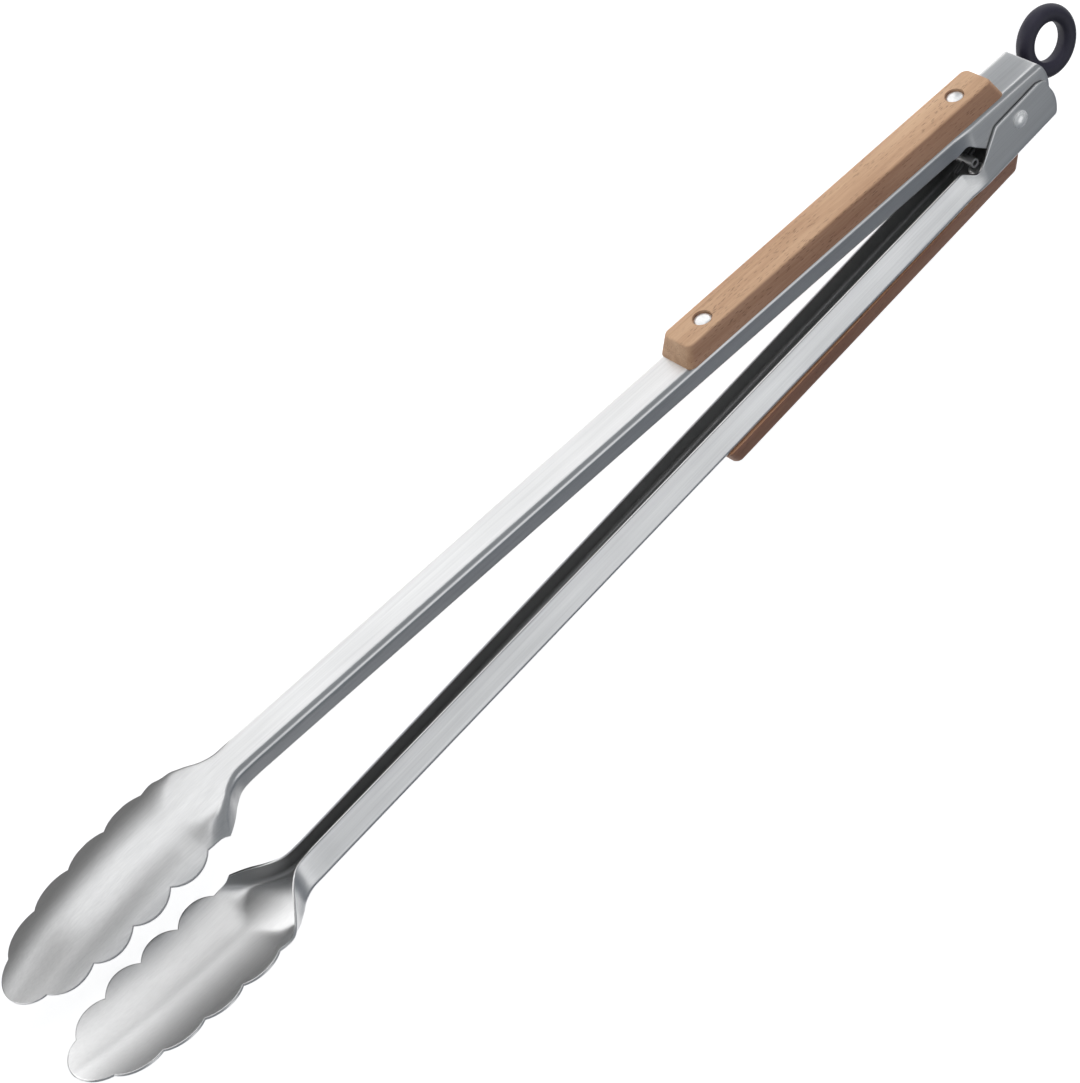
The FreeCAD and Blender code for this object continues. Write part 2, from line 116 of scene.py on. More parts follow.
class Nodes:
    """Short calls for building one node tree."""

    def __init__(self, tree):
        self.tree = tree
        tree.nodes.clear()

    def add(self, kind, inputs=None, **settings):
        """One node, with its settings and its inputs by name or number."""
        node = self.tree.nodes.new(kind)
        for name, value in settings.items():
            setattr(node, name, value)
        for name, value in (inputs or {}).items():
            self.put(node, name, value)
        return node

    def put(self, node, name, value):
        """Link an output to an input, or set the input's own value."""
        socket = node.inputs[name]
        if isinstance(value, bpy.types.NodeSocket):
            self.tree.links.new(value, socket)
        else:
            socket.default_value = value

    def place(self):
        """A piece's own coordinates."""
        return self.add("ShaderNodeAttribute", attribute_name="place").outputs["Vector"]

    def stretched(self, scale):
        """The piece's own coordinates, scaled per axis."""
        return self.add("ShaderNodeMapping", {"Vector": self.place(), "Scale": scale}).outputs[0]

    def noise(self, vector, scale=1.0, detail=3.0, rough=0.5, distortion=0.0):
        """Noise from 0 to 1."""
        node = self.add("ShaderNodeTexNoise", {
            "Vector": vector, "Scale": scale, "Detail": detail,
            "Roughness": rough, "Distortion": distortion})
        return node.outputs[0]

    def ramp(self, value, stops):
        """A colour ramp; stops are (place, colour)."""
        node = self.add("ShaderNodeValToRGB", {"Fac": value})
        elements = node.color_ramp.elements
        while len(elements) < len(stops):
            elements.new(0.5)
        for element, (place, colour) in zip(elements, stops):
            element.position = place
            element.color = grey(colour) if isinstance(colour, float) else (*colour, 1)
        return node.outputs[0]

    def span(self, value, low, high):
        """A value from 0 to 1 spread from low to high."""
        node = self.add("ShaderNodeMapRange", {"Value": value, "To Min": low, "To Max": high})
        return node.outputs[0]

    def mix(self, factor, one, two, blend="MIX"):
        """Two colours mixed."""
        node = self.add("ShaderNodeMix", {0: factor, 6: one, 7: two}, data_type="RGBA",
                        blend_type=blend)
        return node.outputs[2]

    def bump(self, height, distance, strength=1.0):
        """Surface relief from a height."""
        node = self.add("ShaderNodeBump", {"Height": height, "Distance": distance,
                                           "Strength": strength})
        return node.outputs[0]


def grey(value):
    """A neutral colour."""
    return (value, value, value, 1)


def new_material(name):
    """A material with an empty tree, and its helper."""
    material = bpy.data.materials.new(name)
    material.use_nodes = True
    return material, Nodes(material.node_tree)


def finish_material(nodes, material, shader_inputs):
    """Principled shader and output."""
    shader = nodes.add("ShaderNodeBsdfPrincipled", shader_inputs)
    nodes.add("ShaderNodeOutputMaterial", {"Surface": shader.outputs[0]})
    return material


# ------------------------------------------------------------------ materials

# noise cells per metre along, across and up
FINE_BRUSH = (30, 2600, 2600)
BROAD_BRUSH = (9, 420, 420)
STEEL_CLOUD = (28, 60, 60)
TURNING = (1400, 1400, 300)
WOOD_WAVE = (14, 260, 260)
WOOD_FIBRE = (60, 1900, 1900)
WOOD_CLOUD = (16, 55, 55)
WOOD_FLECK = (330, 2300, 2300)
WOOD_PATCH = (45, 300, 300)
RUBBER_SPECK = (2400, 2400, 2400)
RUBBER_CLOUD = (160, 160, 160)

# depth of surface relief in metres
STEEL_RELIEF = 0.00002
RUBBER_RELIEF = 0.00004
WOOD_RELIEF = 0.00012

# where the painted shade down the channel's inside fades out into the head, in millimetres
PAINTED_SHADE_FADE_START = 319.3
PAINTED_SHADE_FADE_END = 321.5
PAINTED_SHADE_FADE_SLANT = -1.1
# metallic under the painted shade in the channel, rising to 1 in the head
PAINTED_SHADE_METAL = 0.7

# painted shade multiplied onto the slats' flanks
FLANK_SHADE_TINT = (0.66, 0.58, 0.60, 1)
FLECK_DEPTH = 0.45


def brushing(nodes, broad_share):
    """Fine and broad brush lines along X."""
    fine = nodes.noise(nodes.stretched(FINE_BRUSH), detail=4, rough=0.65)
    broad = nodes.noise(nodes.stretched(BROAD_BRUSH), detail=3, rough=0.6)
    return nodes.mix(broad_share, fine, broad)


def brushed_steel(name, dark, light, rough):
    """Satin stainless, brushed along X."""
    material, nodes = new_material(name)
    cloud = nodes.noise(nodes.stretched(STEEL_CLOUD), detail=2)
    streak = nodes.mix(0.25, brushing(nodes, 0.45), cloud)
    colour = nodes.ramp(streak, [(0.34, dark), (0.66, light)])
    roughness = nodes.span(streak, rough + 0.07, rough - 0.07)
    along = nodes.add("ShaderNodeVectorTransform", {"Vector": (1, 0, 0)}, vector_type="VECTOR",
                      convert_from="OBJECT", convert_to="WORLD")
    return finish_material(nodes, material, {
        "Base Color": colour, "Metallic": 1.0, "Roughness": roughness, "Anisotropic": 0.45,
        "Tangent": along.outputs[0], "Normal": nodes.bump(streak, STEEL_RELIEF, 0.6)})


def channel_steel_painted_light_and_shade(name, painted_shade, dark, light, rough):
    """The inner face: painted shade down the channel, dark and less metallic, and in the head
    brushed tones lighter than the outer face's steel, a painted light.
    """
    material, nodes = new_material(name)
    streak = brushing(nodes, 0.35)
    colour = nodes.ramp(streak, [(0.34, dark), (0.66, light)])
    place = nodes.add("ShaderNodeSeparateXYZ", {"Vector": nodes.place()}).outputs
    width = nodes.add("ShaderNodeMath", {0: place[2]}, operation="ABSOLUTE").outputs[0]
    slant = nodes.add("ShaderNodeMath", {0: width, 1: PAINTED_SHADE_FADE_SLANT, 2: place[0]},
                      operation="MULTIPLY_ADD").outputs[0]
    # head is 0 under the painted shade down the channel and 1 in the head
    head = nodes.add("ShaderNodeMapRange", {
        "Value": slant, "From Min": PAINTED_SHADE_FADE_START * MM, "From Max": PAINTED_SHADE_FADE_END * MM},
        interpolation_type="SMOOTHSTEP").outputs[0]
    colour = nodes.mix(head, grey(painted_shade), colour)
    return finish_material(nodes, material, {
        "Base Color": colour, "Metallic": nodes.span(head, PAINTED_SHADE_METAL, 1.0),
        "Roughness": nodes.span(streak, rough + 0.08, rough),
        "Normal": nodes.bump(streak, STEEL_RELIEF, 0.6)})


def turned_steel(name, tone, rough, metal=0.8):
    """Bright steel of the small parts, with faint turning marks."""
    material, nodes = new_material(name)
    marks = nodes.noise(nodes.stretched(TURNING), detail=3)
    colour = nodes.ramp(marks, [(0.3, tone * 0.86), (0.7, tone)])
    return finish_material(nodes, material, {
        "Base Color": colour, "Metallic": metal, "Roughness": nodes.span(marks, rough, rough + 0.1),
        "Normal": nodes.bump(marks, STEEL_RELIEF, 0.4)})


def beech(name, pale, tan, brown):
    """Oiled beech: straight grain along X, short dark flecks, and painted shade on the upright
    flanks.
    """
    material, nodes = new_material(name)
    wave = nodes.noise(nodes.stretched(WOOD_WAVE), detail=5, rough=0.6, distortion=0.3)
    fine = nodes.noise(nodes.stretched(WOOD_FIBRE), detail=4, rough=0.7)
    cloud = nodes.noise(nodes.stretched(WOOD_CLOUD), detail=2)
    grain = nodes.mix(0.4, wave, fine)
    grain = nodes.mix(0.3, grain, cloud)
    colour = nodes.ramp(grain, [(0.36, brown), (0.5, tan), (0.64, pale)])
    cells = nodes.add("ShaderNodeTexVoronoi", {
        "Vector": nodes.stretched(WOOD_FLECK), "Scale": 1.0, "Randomness": 1.0})
    flecks = nodes.ramp(cells.outputs["Distance"], [(0.14, 1.0), (0.32, 0.0)])
    patchy = nodes.noise(nodes.stretched(WOOD_PATCH))
    patchy = nodes.ramp(patchy, [(0.40, 0.0), (0.56, 0.85)])
    share = nodes.add("ShaderNodeMath", {0: flecks, 1: patchy}, operation="MULTIPLY")
    dark = tuple(value * FLECK_DEPTH for value in brown)
    colour = nodes.mix(share.outputs[0], colour, (*dark, 1))
    # painted shade: faces turned along Z, the slat's flanks, are darkened by FLANK_SHADE_TINT
    normal = nodes.add("ShaderNodeTexCoord").outputs["Normal"]
    facing = nodes.add("ShaderNodeSeparateXYZ", {"Vector": normal}).outputs[2]
    flank_shade = nodes.add("ShaderNodeMath", {0: facing, 1: 2.0}, operation="POWER").outputs[0]
    colour = nodes.mix(flank_shade, colour, nodes.mix(1.0, colour, FLANK_SHADE_TINT, "MULTIPLY"))
    return finish_material(nodes, material, {
        "Base Color": colour, "Roughness": nodes.span(grain, 0.62, 0.46),
        "Specular IOR Level": 0.35, "Normal": nodes.bump(grain, WOOD_RELIEF, 0.7)})


def soft_rubber(name):
    """Matt dark moulded rubber."""
    material, nodes = new_material(name)
    speck = nodes.noise(nodes.stretched(RUBBER_SPECK), detail=3, rough=0.6)
    cloud = nodes.noise(nodes.stretched(RUBBER_CLOUD), detail=2)
    both = nodes.mix(0.4, speck, cloud)
    colour = nodes.ramp(both, [(0.3, (0.015, 0.014, 0.026)), (0.7, (0.026, 0.023, 0.040))])
    return finish_material(nodes, material, {
        "Base Color": colour, "Roughness": nodes.span(both, 0.48, 0.62),
        "Specular IOR Level": 0.5, "Normal": nodes.bump(speck, RUBBER_RELIEF, 0.6)})


def glowing(name, colour, strength):
    """Flat light of a studio card."""
    material, nodes = new_material(name)
    shader = nodes.add("ShaderNodeEmission", {"Color": (*colour, 1), "Strength": strength})
    nodes.add("ShaderNodeOutputMaterial", {"Surface": shader.outputs[0]})
    return material


ARM_STEEL = brushed_steel("brushed_arm_steel", 0.66, 0.82, 0.34)
# inner face: painted shade down the channel, and tones lighter than ARM_STEEL in the head as
# painted light
CHANNEL_STEEL_PAINTED_LIGHT_AND_SHADE = channel_steel_painted_light_and_shade("channel_steel_painted_light_and_shade", 0.34, 0.88, 0.97, 0.30)
LATCH_STEEL = brushed_steel("brushed_latch_steel", 0.38, 0.52, 0.34)
RIVET_STEEL = turned_steel("rivet_steel", 0.92, 0.26)
PIVOT_STEEL = turned_steel("pivot_steel", 0.97, 0.20, metal=0.55)
# the cross pin's steel is dark: painted shade of the notch it sits in
PIN_STEEL_PAINTED_SHADE = turned_steel("pin_steel_painted_shade", 0.30, 0.40)
SPRING_STEEL = turned_steel("spring_steel", 0.05, 0.45)
# one beech in two copies: the lower slat's copy is darker and redder, a painted shade
UPPER_BEECH = beech("upper_beech", (0.56, 0.37, 0.235), (0.47, 0.295, 0.18), (0.35, 0.20, 0.115))
LOWER_BEECH_PAINTED_SHADE = beech("lower_beech_painted_shade", (0.50, 0.29, 0.18), (0.41, 0.215, 0.125), (0.29, 0.135, 0.078))
RUBBER = soft_rubber("ring_rubber")


# ------------------------------------------------------------------ mesh helpers

SAME_POINT = 1e-8
SHARP_EDGE = math.radians(35)


def link(item):
    """Put an object in the scene."""
    bpy.context.scene.collection.objects.link(item)


def clean_faces(mesh, merge=True):
    """Join points that coincide and turn all faces outwards."""
    work = bmesh.new()
    work.from_mesh(mesh)
    if merge:
        bmesh.ops.remove_doubles(work, verts=work.verts, dist=SAME_POINT)
    bmesh.ops.recalc_face_normals(work, faces=work.faces)
    work.to_mesh(mesh)
    work.free()


def new_piece(name, points, faces, matrix, material, body, nodes):
    """A smooth shaded piece from points in millimetres, riding on a body for its CAD nodes."""
    mesh = bpy.data.meshes.new(name)
    mesh.from_pydata([Vector(point) * MM for point in points], [], faces)
    mesh.materials.append(material)
    piece = bpy.data.objects.new(name, mesh)
    link(piece)
    return dress(piece, matrix, body, nodes)


def dress(piece, matrix, body, nodes):
    """Clean a linked piece's faces, move it to the row frame and tie it to its body.

    Its own coordinates are kept as the attribute that the materials read.
    """
    clean_faces(piece.data)
    local = piece.data.attributes.new("place", "FLOAT_VECTOR", "POINT")
    own = [value for vertex in piece.data.vertices for value in vertex.co]
    local.data.foreach_set("vector", own)
    piece.data.transform(matrix)
    for polygon in piece.data.polygons:
        polygon.use_smooth = True
    piece.data.set_sharp_from_angle(angle=SHARP_EDGE)
    piece.matrix_world = Matrix()
    if body:
        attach(piece, body)
    if nodes:
        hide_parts(*nodes)
    return piece


def strip_faces(count, first, second, closed=True):
    """Quads between two rows of vertex numbers."""
    last = count if closed else count - 1
    return [(first[k], first[(k + 1) % count], second[(k + 1) % count], second[k])
            for k in range(last)]


def lathe(profile, steps, closed=False):
    """Points and faces of a profile of (radius, height) turned about Z."""
    points = []
    rings = []
    for radius, height in profile:
        if radius < TINY:
            rings.append([len(points)])
            points.append((0, 0, height))
            continue
        rings.append(list(range(len(points), len(points) + steps)))
        for k in range(steps):
            angle = 2 * math.pi * k / steps
            points.append((radius * math.cos(angle), radius * math.sin(angle), height))
    faces = []
    pairs = list(zip(rings, rings[1:] + rings[:1] if closed else rings[1:]))
    for one, two in pairs:
        if len(one) == 1:
            faces += [(one[0], two[k], two[(k + 1) % steps]) for k in range(steps)]
        elif len(two) == 1:
            faces += [(one[k], one[(k + 1) % steps], two[0]) for k in range(steps)]
        else:
            faces += strip_faces(steps, one, two)
    return points, faces


def arc(centre, radius, start, end, steps):
    """Points of an arc, angles in degrees."""
    angles = [math.radians(start + (end - start) * k / steps) for k in range(steps + 1)]
    return [(centre[0] + radius * math.cos(a), centre[1] + radius * math.sin(a)) for a in angles]


def circle_through(one, two, three):
    """Centre and radius of the circle through three points."""
    (ax, ay), (bx, by), (cx, cy) = one, two, three
    double = 2 * (ax * (by - cy) + bx * (cy - ay) + cx * (ay - by))
    a, b, c = ax * ax + ay * ay, bx * bx + by * by, cx * cx + cy * cy
    x = (a * (by - cy) + b * (cy - ay) + c * (ay - by)) / double
    y = (a * (cx - bx) + b * (ax - cx) + c * (bx - ax)) / double
    return (x, y), math.hypot(ax - x, ay - y)


def on_circle(one, two, three, known, axis, sign):
    """The other coordinate of a point on the circle through three points."""
    centre, radius = circle_through(one, two, three)
    offset = known - centre[axis]
    return centre[1 - axis] + sign * math.sqrt(max(radius * radius - offset * offset, 0))


# ------------------------------------------------------------------ formed arms

HEAD_TABLE = {
    # x: half web, web distance, edge half, edge distance, bend radius
    306.0: (6.85, 11.8, 2.85, 1.7, 1.9),
    317.0: (6.85, 11.8, 2.9, 1.7, 1.9),
    322.0: (7.0, 11.65, 3.8, 1.8, 2.0),
    326.0: (8.4, 11.4, 7.0, 2.4, 2.1),
    330.0: (11.4, 11.05, 11.6, 3.5, 2.6),
    334.0: (13.6, 10.65, 15.8, 5.0, 5.0),
    338.0: (12.4, 10.2, 18.8, 6.0, 16.0),
    343.0: (9.26, 9.7, 20.5, 5.43, 45.0),
    350.0: (9.26, 9.2, 20.5, 4.93, 45.0),
    362.0: (9.26, 8.0, 20.5, 3.73, 45.0),
    377.0: (9.26, 5.75, 20.5, 1.48, 45.0),
    392.0: (9.26, 2.8, 20.5, -1.47, 45.0),
    408.5: (9.26, -2.0, 20.5, -6.27, 45.0),
}


# places along the arm where the flange's free edge changes, and its distances there
EAR_REAR = -8.0
EAR_FLAT_END = 8.3
SLOPE_START, SLOPE_LOW = 10.0, -5.2
SLOPE_END, SLOPE_HIGH = 20.0, 3.7
LIP_END, LIP_OUT = 22.6, 3.9
RAMP_END = 25.2
LEAN_START, LEAN_LENGTH = 19.0, 7.0
# the neck opens and its columns spread from here on
HEAD_OPENING = 328.0
SPREAD_LENGTH = 18.0
WEB_SPREAD, BEND_SPREAD = 0.34, 0.62
SHOULDER = ((330.0, 15.6), (337.0, 16.9), (HEAD_START, HEAD_HALF))
NOTCH_POWER = 5
BOW_POWER = 1.6


def head_values(x):
    """The head's section values at x, on smooth curves through the table."""
    stations = sorted(HEAD_TABLE)
    x = min(max(x, stations[0]), stations[-1])
    place = max(k for k, station in enumerate(stations[:-1]) if station <= x)
    before = stations[max(place - 1, 0)]
    low, high = stations[place], stations[place + 1]
    after = stations[min(place + 2, len(stations) - 1)]
    span = high - low
    t = (x - low) / span
    values = []
    for a, p, q, b in zip(*(HEAD_TABLE[station] for station in (before, low, high, after))):
        start = (q - a) / (high - before) * span
        end = (b - p) / (after - low) * span
        values.append((2 * t ** 3 - 3 * t ** 2 + 1) * p + (t ** 3 - 2 * t ** 2 + t) * start
                      + (3 * t ** 2 - 2 * t ** 3) * q + (t ** 3 - t ** 2) * end)
    return values


def root_half(x):
    """Half width of the head at a notch."""
    share = max(x - HEAD_START, 0) / (LOBES * LOBE)
    return HEAD_HALF - (HEAD_HALF - LAST_HALF) * share ** NOTCH_POWER


def outline_half(x):
    """Half width of the scalloped head."""
    if x < HEAD_START:
        return on_circle(*SHOULDER, max(x, SHOULDER[0][0]), 0, 1)
    if x > LAST_NOTCH:
        return math.sqrt(max(TIP_RADIUS ** 2 - (x - TIP + TIP_RADIUS) ** 2, 0))
    lobe = min(int((x - HEAD_START) / LOBE + TINY), LOBES - 1)
    low = HEAD_START + lobe * LOBE
    one = (low, root_half(low))
    two = (low + LOBE, root_half(low + LOBE))
    length = math.hypot(two[0] - one[0], two[1] - one[1])
    normal = ((one[1] - two[1]) / length, (two[0] - one[0]) / length)
    top = ((one[0] + two[0]) / 2 + normal[0] * LOBE_RISE,
           (one[1] + two[1]) / 2 + normal[1] * LOBE_RISE)
    return on_circle(one, top, two, min(max(x, one[0]), two[0]), 0, 1)


def flange_edge(x):
    """Distance of the flange's free edge from the mid-plane, from the ears to the neck."""
    if x >= RAMP_END:
        return EDGE
    if x >= LIP_END:
        return EDGE + (RAMP_END - x) / (RAMP_END - LIP_END) * (LIP_OUT - EDGE)
    if x >= SLOPE_END:
        return on_circle((LIP_END, LIP_OUT), (21.4, 4.4), (SLOPE_END, SLOPE_HIGH), x, 0, 1)
    if x >= SLOPE_START:
        share = (x - SLOPE_START) / (SLOPE_END - SLOPE_START)
        return SLOPE_LOW + share * (SLOPE_HIGH - SLOPE_LOW)
    if x >= EAR_FLAT_END:
        corner = ((SLOPE_START, SLOPE_LOW), (9.2, -5.6), (EAR_FLAT_END, EAR_TOP))
        return on_circle(*corner, x, 0, -1)
    return EAR_TOP


def ear_end(distance):
    """Where the rounded end of an ear is, at a distance from the mid-plane."""
    joint = (-14.3, -0.8)
    if distance < joint[1]:
        return on_circle((-10.4, EAR_TOP), (-13.4, -4.2), joint, distance, 1, -1)
    return on_circle(joint, (-15.4, 4.6), (-13.0, WEB), distance, 1, -1)


def section_at(x, hinge_half):
    """Half web, web distance, direction of the flange, bend radius and free edge at x."""
    if x >= NECK_START:
        half, web, edge, reach, bend = head_values(x)
        lean, drop = edge - half, reach - web
    else:
        share = max(x, 0) / NECK_START
        half = hinge_half + (NECK_HALF - hinge_half) * share
        lean = -(HINGE_LEAN + (NECK_LEAN - HINGE_LEAN) * x / NECK_START)
        lean *= min(max((x - LEAN_START) / LEAN_LENGTH, 0), 1)
        web, drop, bend = WEB, EDGE - WEB, CHANNEL_BEND
        reach = flange_edge(x)
    length = math.hypot(lean, drop)
    return half, web, (lean / length, drop / length), bend, reach


class HalfCurve:
    """Half a cross-section, from the middle of the web to the free edge, by length."""

    def __init__(self, x, hinge_half):
        self.half, self.web, self.along, self.bend, reach = section_at(x, hinge_half)
        self.turn = math.acos(self.along[0])
        tangent = self.bend * math.tan(self.turn / 2)
        self.flat = self.half - tangent
        self.curved = self.flat + self.bend * self.turn
        self.bend_end = self.point(self.curved)
        self.end = self.curved + (self.bend_end[1] - reach) / -self.along[1]
        if x >= HEAD_OPENING:
            self.end = min(self.end, self.length_at(outline_half(x)))

    def point(self, length):
        """(half width, distance) at a length along the curve."""
        if length <= self.flat:
            return length, self.web
        angle = min((length - self.flat) / self.bend, self.turn)
        z = self.flat + self.bend * math.sin(angle)
        d = self.web - self.bend * (1 - math.cos(angle))
        more = max(length - self.curved, 0)
        return z + self.along[0] * more, d + self.along[1] * more

    def length_at(self, z):
        """Length along the curve at a half width, where the curve opens outwards."""
        if self.along[0] < 0.05 and z > self.bend_end[0]:
            return math.inf
        if z <= self.flat:
            return z
        if z < self.bend_end[0]:
            return self.flat + self.bend * math.asin((z - self.flat) / self.bend)
        return self.curved + (z - self.bend_end[0]) / self.along[0]


WEB_COLUMNS = 8
BEND_COLUMNS = 8
FLANGE_COLUMNS = 14
END_ROWS = 7
TIP_CORNER = 5
# runs of rows along the arm: start, end, steps
CHANNEL_RUNS = (
    (EAR_REAR, EAR_FLAT_END, 7), (EAR_FLAT_END, SLOPE_START, 5), (SLOPE_START, SLOPE_END, 15),
    (SLOPE_END, LIP_END, 8), (LIP_END, 24.4, 2), (24.4, 26.0, 2), (26.0, NECK_START, 35),
    (NECK_START, HEAD_START, 53))
HEAD_RUNS = ((HEAD_START, LAST_NOTCH, 26 * LOBES), (LAST_NOTCH, TIP - ROUND_RISE, 10))


def stations(runs):
    """Places along runs of rows, without the first."""
    return [x for start, end, steps in runs for x in np.linspace(start, end, steps + 1)[1:]]


def column_lengths(curve, x):
    """Lengths of the columns, which follow the bends in the channel and spread in the head."""
    share = min(max((x - HEAD_OPENING) / SPREAD_LENGTH, 0), 1)
    share = share * share * (3 - 2 * share)
    first = curve.flat + (WEB_SPREAD * curve.end - curve.flat) * share
    second = curve.curved + (BEND_SPREAD * curve.end - curve.curved) * share
    bounds = ((0, first, WEB_COLUMNS), (first, second, BEND_COLUMNS),
              (second, curve.end, FLANGE_COLUMNS))
    lengths = [0.0]
    for start, end, count in bounds:
        lengths += [start + (end - start) * (k + 1) / count for k in range(count)]
    return lengths


def arm_rows(hinge_half):
    """Rows of points of the arm's outer face, from the hinge end to the tip."""
    rows = []
    curve = HalfCurve(EAR_REAR, hinge_half)
    for count in range(END_ROWS):
        share = count / END_ROWS
        row = []
        for length in column_lengths(curve, EAR_REAR):
            z, d = curve.point(length)
            row.append((ear_end(d) * (1 - share) + EAR_REAR * share, d, z))
        rows.append(row)
    for x in [EAR_REAR] + stations(CHANNEL_RUNS):
        curve = HalfCurve(x, hinge_half)
        rows.append([(x, d, z) for z, d in map(curve.point, column_lengths(curve, x))])
    rows += [curved_row(x, hinge_half) for x in stations(HEAD_RUNS)]
    return rows


def curved_row(x, hinge_half):
    """A row of the head that bows forward, so that the last row is the front of the tip."""
    share = (x - HEAD_START) / (TIP - ROUND_RISE - HEAD_START)
    spread = math.asin(ROUND_HALF / TIP_RADIUS)
    curve = HalfCurve(x, hinge_half)
    widest = curve.point(curve.end)[0]
    row = []
    for length in column_lengths(curve, x):
        z_even = curve.point(length)[0]
        z_round = widest * math.sin(spread * length / curve.end) / math.sin(spread)
        z = z_even + (z_round - z_even) * share
        bow = math.sqrt(TIP_RADIUS ** 2 - min(z, ROUND_HALF) ** 2) - TIP_RADIUS + ROUND_RISE
        place = x + bow * share ** BOW_POWER
        here = HalfCurve(place, hinge_half)
        row.append((place, here.point(here.length_at(z))[1], z))
    return row


def both_halves(rows):
    """Rows across the whole width as an array."""
    full = [[(x, d, -z) for x, d, z in row[:0:-1]] + list(row) for row in rows]
    return np.array(full)


def grid_normals(grid, towards):
    """Unit normals of a grid of points, evened out in the tip's two tight corners."""
    across = np.gradient(grid, axis=1)
    along = np.gradient(grid, axis=0)
    normals = np.cross(along, across)
    normals /= np.linalg.norm(normals, axis=2, keepdims=True)
    normals[0], normals[-1] = normals[1], normals[-2]
    normals[:, 0], normals[:, -1] = normals[:, 1], normals[:, -2]
    size = TIP_CORNER
    normals[-size:, :size] = normals[-size - 1, size]
    normals[-size:, -size:] = normals[-size - 1, -size - 1]
    centre = (grid.shape[0] // 2, grid.shape[1] // 2)
    return normals if normals[centre] @ np.array(towards) > 0 else -normals


def border(count_rows, count_columns):
    """Row and column numbers round the edge of a grid."""
    places = [(0, c) for c in range(count_columns)]
    places += [(r, count_columns - 1) for r in range(1, count_rows)]
    places += [(count_rows - 1, c) for c in range(count_columns - 2, -1, -1)]
    places += [(r, 0) for r in range(count_rows - 2, 0, -1)]
    return places


def sheet_mesh(grid, gauge, radius):
    """Points and faces of sheet metal: a face, its back and a rim with rounded edges."""
    count_rows, count_columns = grid.shape[:2]
    normals = grid_normals(grid, (0, 1, 0))
    places = border(count_rows, count_columns)
    rim = np.array([grid[place] for place in places])
    out = np.array([normals[place] for place in places])
    tangent = np.roll(rim, -1, axis=0) - np.roll(rim, 1, axis=0)
    side = np.cross(tangent, out)
    side /= np.linalg.norm(side, axis=1, keepdims=True)
    inward = grid[count_rows // 2, count_columns // 2] - rim[len(rim) // 5]
    if side[len(rim) // 5] @ inward > 0:
        side = -side
    face = grid.copy()
    back = grid - normals * gauge
    for place, shift in zip(places, side * radius):
        face[place] -= shift
        back[place] -= shift
    points = [tuple(p) for p in face.reshape(-1, 3)] + [tuple(p) for p in back.reshape(-1, 3)]
    size = count_rows * count_columns
    faces = []
    for r in range(count_rows - 1):
        for c in range(count_columns - 1):
            a = r * count_columns + c
            quad = (a, a + 1, a + count_columns + 1, a + count_columns)
            faces.append(quad)
            faces.append(tuple(size + k for k in quad[::-1]))
    loops = [[r * count_columns + c for r, c in places]]
    centres = (rim - side * radius - out * radius, rim - side * radius - out * (gauge - radius))
    for centre, turns in zip(centres, ((45, 90), (90, 135))):
        for turn in turns:
            angle = math.radians(turn)
            ring = centre + radius * (out * math.cos(angle) + side * math.sin(angle))
            loops.append(list(range(len(points), len(points) + len(ring))))
            points += [tuple(p) for p in ring]
    loops.append([size + r * count_columns + c for r, c in places])
    for one, two in zip(loops, loops[1:]):
        faces += strip_faces(len(places), one, two)
    return points, faces


def make_arm(prefix, side):
    """Ears, channel and scalloped head of one sheet, its inner face in a second material with
    painted shade and painted light.
    """
    grid = both_halves(arm_rows(HINGE_HALF[prefix]))
    points, faces = sheet_mesh(grid, GAUGE, SHEET_EDGE_RADIUS)
    piece = new_piece(prefix + "_arm_sheet", points, faces, arm_matrix(side), ARM_STEEL,
                      prefix + "_arm", [prefix + "_arm"])
    piece.data.materials.append(CHANNEL_STEEL_PAINTED_LIGHT_AND_SHADE)
    size = grid.shape[0] * grid.shape[1]
    for polygon in piece.data.polygons:
        if all(size <= number < 2 * size for number in polygon.vertices):
            polygon.material_index = 1
    return piece


# ------------------------------------------------------------------ grips

GRIP_START = 2.4
GRIP_END = 141.4
GRIP_DEPTH = 6.9
GRIP_BASE = 7.2
GRIP_TOP = 5.8
GRIP_SLOPE = 2.6
UPRIGHT_ROUND = 2.2
TOP_ROUND = 0.6
SINK_RADIUS = 3.05
SINK_DEPTH = 1.15
SINK_FLARE = 3.15
SINK_RIM = 0.15
RIVET_PLACES = {"back": 16.0, "front": 127.5}
RIVET_STEPS = 40


def frustum(grip):
    """The slat's eight corners and six faces, added to a bmesh."""
    corners = []
    for height, slope, half in ((0, 0, GRIP_BASE), (GRIP_DEPTH, GRIP_SLOPE, GRIP_TOP)):
        for x, z in ((GRIP_START + slope, -half), (GRIP_END - slope, -half),
                     (GRIP_END - slope, half), (GRIP_START + slope, half)):
            corners.append(grip.verts.new(Vector((x, WEB + height, z)) * MM))
    for numbers in ((0, 1, 2, 3), (4, 7, 6, 5), (0, 4, 5, 1), (1, 5, 6, 2), (2, 6, 7, 3),
                    (3, 7, 4, 0)):
        grip.faces.new([corners[k] for k in numbers])


def sink_cutter(name, x, matrix):
    """The sunk hole for a rivet head, with a slightly broken rim."""
    top = WEB + GRIP_DEPTH
    profile = [(0, top - SINK_DEPTH), (SINK_RADIUS, top - SINK_DEPTH),
               (SINK_RADIUS, top - SINK_RIM), (SINK_FLARE, top + 0.02), (SINK_FLARE, top + 2),
               (0, top + 2)]
    points, faces = lathe(profile, RIVET_STEPS)
    mesh = bpy.data.meshes.new(name)
    mesh.from_pydata([Vector((x + p[0], p[2], p[1])) * MM for p in points], [], faces)
    cutter = bpy.data.objects.new(name, mesh)
    link(cutter)
    clean_faces(mesh, merge=False)
    cutter.matrix_world = matrix
    return cutter


